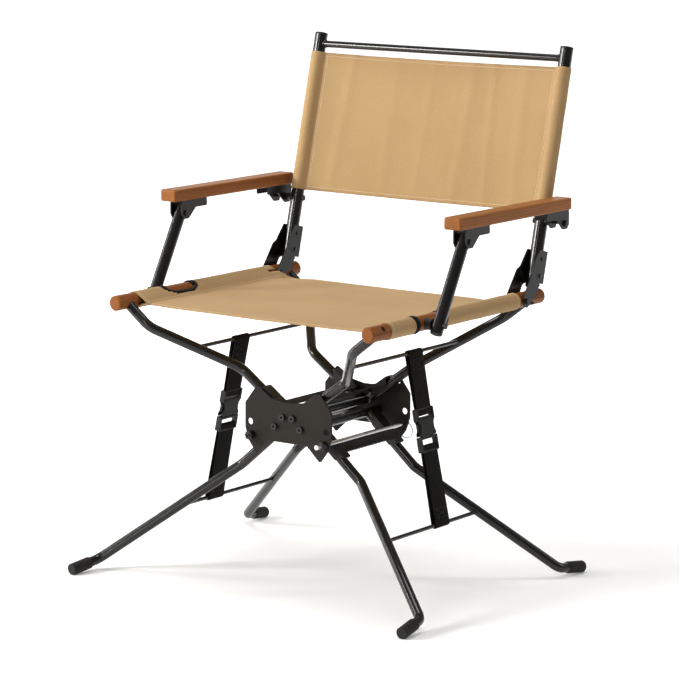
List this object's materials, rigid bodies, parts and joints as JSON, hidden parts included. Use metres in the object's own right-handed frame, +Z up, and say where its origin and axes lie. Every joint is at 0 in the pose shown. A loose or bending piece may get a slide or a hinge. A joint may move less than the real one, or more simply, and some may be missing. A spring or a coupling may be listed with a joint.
{
  "type": "folding chair",
  "caption": "Folding director's chair: slung canvas seat and back, wooden rails and armrests, splayed tube legs on a central hub with pull-out lock pins and side straps.",
  "frame": {"origin": "on the ground, midway between the four feet, under the middle of the hub", "axes": "+Z up; the front of the chair faces -Y and the back leans towards +Y; +X is on the right as seen from the front, so left and right are a viewer's"},
  "size_m": [0.682, 0.5963, 0.8676],
  "materials": {
    "rail_wood": "oiled, slightly glossy",
    "arm_wood": "oiled, slightly glossy",
    "canvas": "matt plain weave",
    "webbing": "matt ribbed webbing",
    "buckle_plastic": "satin moulded",
    "foot_rubber": "matt",
    "black_plastic": "satin moulded",
    "bright_steel": "bright plated",
    "hub_plate": "fine textured satin powder coat",
    "black_sheet": "semi-gloss powder coat",
    "black_bolt": "blackened, semi-gloss",
    "black_tube": "semi-gloss powder coat"
  },
  "bodies": {
    "base": {"hub_plate_front": "hub_plate", "hub_plate_rear": "hub_plate", "hub_bolts": "black_bolt", "pin_collars": "black_bolt", "arm_tube_left_front": "black_tube", "arm_tube_left_rear": "black_tube", "arm_tube_right_front": "black_tube", "arm_tube_right_rear": "black_tube", "arm_cross_plate_left": "black_sheet", "arm_cross_plate_right": "black_sheet", "arm_sleeves": "black_tube", "upper_rods": "black_tube", "seat_rail_left": "rail_wood", "seat_rail_right": "rail_wood", "rail_screws": "black_bolt", "rail_bolts": "black_bolt", "post_spacers": "black_plastic", "seat_fabric": "canvas"},
    "back_frame": {"back_post_left": "black_tube", "back_post_right": "black_tube", "top_bar": "black_tube", "back_bracket_left": "black_sheet", "back_bracket_right": "black_sheet", "bracket_rivets": "black_bolt", "post_caps": "black_plastic", "armrest_bolts": "black_bolt", "back_fabric": "canvas"},
    "front_post_left": {"front_post_left": "black_tube"},
    "armrest_left": {"armrest_left": "arm_wood", "armrest_brackets_left": "black_sheet", "armrest_fasteners_left": "black_bolt"},
    "legs_left": {"leg_tube_left_front": "black_tube", "leg_tube_left_rear": "black_tube", "leg_cross_plate_left": "black_sheet", "leg_sleeve_left": "black_tube", "lower_rod_left": "black_tube", "foot_caps_left": "foot_rubber"},
    "lock_pin_left": {"lock_pin_left": "bright_steel"},
    "pull_ring_left": {"pull_ring_left": "bright_steel"},
    "strap_upper_left": {"strap_upper_left": "webbing", "buckle_socket_left": "buckle_plastic"},
    "strap_lower_left": {"strap_lower_left": "webbing", "buckle_plug_left": "buckle_plastic"},
    "front_post_right": {"front_post_right": "black_tube"},
    "armrest_right": {"armrest_right": "arm_wood", "armrest_brackets_right": "black_sheet", "armrest_fasteners_right": "black_bolt"},
    "legs_right": {"leg_tube_right_front": "black_tube", "leg_tube_right_rear": "black_tube", "leg_cross_plate_right": "black_sheet", "leg_sleeve_right": "black_tube", "lower_rod_right": "black_tube", "foot_caps_right": "foot_rubber"},
    "lock_pin_right": {"lock_pin_right": "bright_steel"},
    "pull_ring_right": {"pull_ring_right": "bright_steel"},
    "strap_upper_right": {"strap_upper_right": "webbing", "buckle_socket_right": "buckle_plastic"},
    "strap_lower_right": {"strap_lower_right": "webbing", "buckle_plug_right": "buckle_plastic"}
  },
  "joints": [
    {"name": "back_fold", "type": "hinge", "parent": "base", "child": "back_frame", "pos_m": [0, 0.181, 0.46], "axis": [1, 0, 0], "range_deg": [0, 90]},
    {"name": "front_post_left_swing", "type": "hinge", "parent": "base", "child": "front_post_left", "pos_m": [-0.2835, -0.101, 0.46], "axis": [1, 0, 0], "range_deg": [0, 90]},
    {"name": "armrest_left_level", "type": "hinge", "parent": "front_post_left", "child": "armrest_left", "pos_m": [-0.2835, -0.03298, 0.5835], "axis": [1, 0, 0], "range_deg": [-90, 0]},
    {"name": "legs_left_fold", "type": "hinge", "parent": "base", "child": "legs_left", "pos_m": [-0.026, 0, 0.264], "axis": [0, -1, 0], "range_deg": [0, 48]},
    {"name": "lock_pin_left_pull", "type": "slide", "parent": "base", "child": "lock_pin_left", "axis": [0, 1, 0], "range_m": [0, 0.25]},
    {"name": "pull_ring_left_swing", "type": "hinge", "parent": "lock_pin_left", "child": "pull_ring_left", "pos_m": [-0.07302, 0.1192, 0.24434], "axis": [1, 0, 0], "range_deg": [-10, 95]},
    {"name": "strap_upper_left_swing", "type": "hinge", "parent": "base", "child": "strap_upper_left", "pos_m": [-0.15375, 0, 0.386], "axis": [0, -1, 0], "range_deg": [0, 12]},
    {"name": "strap_lower_left_swing", "type": "hinge", "parent": "legs_left", "child": "strap_lower_left", "pos_m": [-0.20976, 0, 0.11024], "axis": [0, -1, 0], "range_deg": [0, 96]},
    {"name": "front_post_right_swing", "type": "hinge", "parent": "base", "child": "front_post_right", "pos_m": [0.2835, -0.101, 0.46], "axis": [1, 0, 0], "range_deg": [0, 90]},
    {"name": "armrest_right_level", "type": "hinge", "parent": "front_post_right", "child": "armrest_right", "pos_m": [0.2835, -0.03298, 0.5835], "axis": [1, 0, 0], "range_deg": [-90, 0]},
    {"name": "legs_right_fold", "type": "hinge", "parent": "base", "child": "legs_right", "pos_m": [0.026, 0, 0.264], "axis": [0, 1, 0], "range_deg": [0, 48]},
    {"name": "lock_pin_right_pull", "type": "slide", "parent": "base", "child": "lock_pin_right", "axis": [0, 1, 0], "range_m": [0, 0.25]},
    {"name": "pull_ring_right_swing", "type": "hinge", "parent": "lock_pin_right", "child": "pull_ring_right", "pos_m": [0.07302, 0.1192, 0.24434], "axis": [1, 0, 0], "range_deg": [-10, 95]},
    {"name": "strap_upper_right_swing", "type": "hinge", "parent": "base", "child": "strap_upper_right", "pos_m": [0.15375, 0, 0.386], "axis": [0, 1, 0], "range_deg": [0, 12]},
    {"name": "strap_lower_right_swing", "type": "hinge", "parent": "legs_right", "child": "strap_lower_right", "pos_m": [0.20976, 0, 0.11024], "axis": [0, 1, 0], "range_deg": [0, 96]}
  ],
  "couplings": [
    {"joint": "front_post_left_swing", "follows": "back_fold", "ratio": 1},
    {"joint": "armrest_left_level", "follows": "back_fold", "ratio": -1},
    {"joint": "strap_upper_left_swing", "follows": "legs_left_fold", "ratio": 0.23},
    {"joint": "strap_lower_left_swing", "follows": "legs_left_fold", "ratio": 2},
    {"joint": "front_post_right_swing", "follows": "back_fold", "ratio": 1},
    {"joint": "armrest_right_level", "follows": "back_fold", "ratio": -1},
    {"joint": "strap_upper_right_swing", "follows": "legs_right_fold", "ratio": 0.23},
    {"joint": "strap_lower_right_swing", "follows": "legs_right_fold", "ratio": 2}
  ]
}
